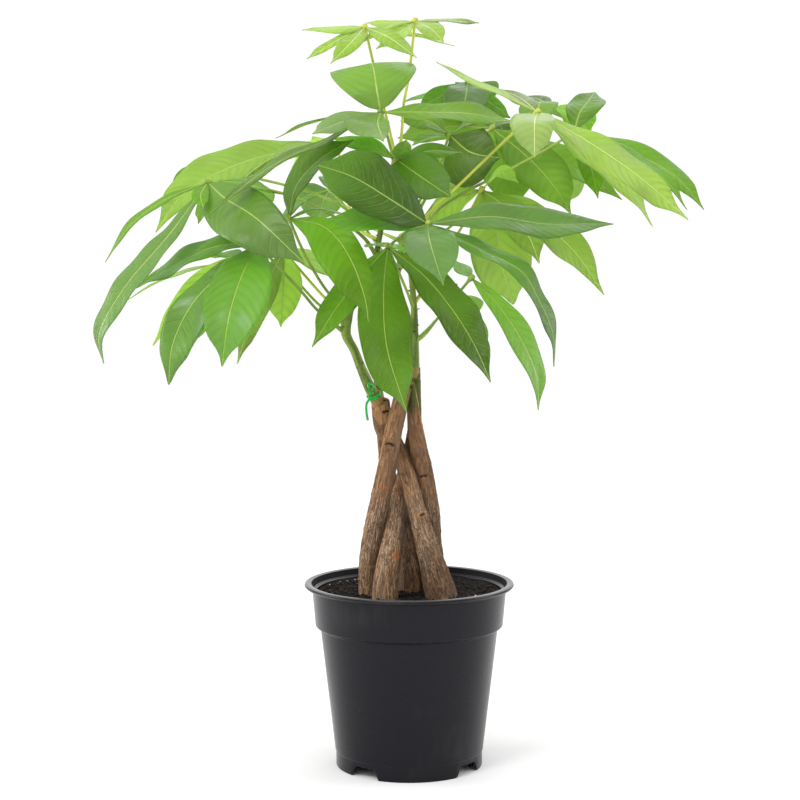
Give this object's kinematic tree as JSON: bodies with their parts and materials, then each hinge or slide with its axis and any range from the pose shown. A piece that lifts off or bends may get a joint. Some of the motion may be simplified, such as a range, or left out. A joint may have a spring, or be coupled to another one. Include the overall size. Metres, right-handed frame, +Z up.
{
  "type": "potted braided money tree",
  "caption": "Money tree with braided woody trunks, green shoots and spreading palmate leaves, standing in a round black nursery pot of soil; for indoor decoration.",
  "frame": {"origin": "on the pot's axis, on the surface that the pot stands on", "axes": "+Z up along the pot's axis; the front of the plant faces -Y; +X to the viewer's right"},
  "size_m": [0.4241, 0.3603, 0.5386],
  "materials": {
    "pot": "black moulded polypropylene with a soft sheen",
    "soil": "loose dark peat mix with white perlite",
    "bark": "dry brown bark, ringed and peeling in places",
    "green_stem": "smooth green young stem",
    "tie": "bright green plastic ribbon",
    "leaf_young": "thin pale young leaf, satin",
    "leaf_light": "light green leaf lit through, satin",
    "leaf_top": "fresh green leaf, satin",
    "leaf_mid": "mid green leaf, satin to glossy",
    "leaf_deep": "deep green glossy leaf",
    "leaf_dark": "dark green glossy leaf"
  },
  "bodies": {
    "root": {"pot": "pot", "soil": "soil", "trunk_1": "bark", "trunk_2": "bark", "trunk_3": "bark", "trunk_4": "bark", "trunk_5": "bark", "shoot_1": "green_stem", "shoot_2": "green_stem", "shoot_3": "green_stem", "tie": "tie", "leaf_01": "leaf_young", "leaf_02": "leaf_young", "leaf_03": "leaf_top", "leaf_04": "leaf_dark", "leaf_05": "leaf_light", "leaf_06": "leaf_mid", "leaf_07": "leaf_mid", "leaf_08": "leaf_light", "leaf_09": "leaf_dark", "leaf_10": "leaf_mid", "leaf_11": "leaf_deep", "leaf_12": "leaf_mid", "leaf_13": "leaf_light", "leaf_14": "leaf_young", "leaf_15": "leaf_mid", "leaf_16": "leaf_top", "leaf_17": "leaf_top", "leaf_18": "leaf_deep", "leaf_19": "leaf_top", "leaf_20": "leaf_mid", "leaf_21": "leaf_deep", "leaf_22": "leaf_mid", "leaf_23": "leaf_top", "leaf_24": "leaf_mid", "leaf_25": "leaf_mid"}
  },
  "joints": []
}
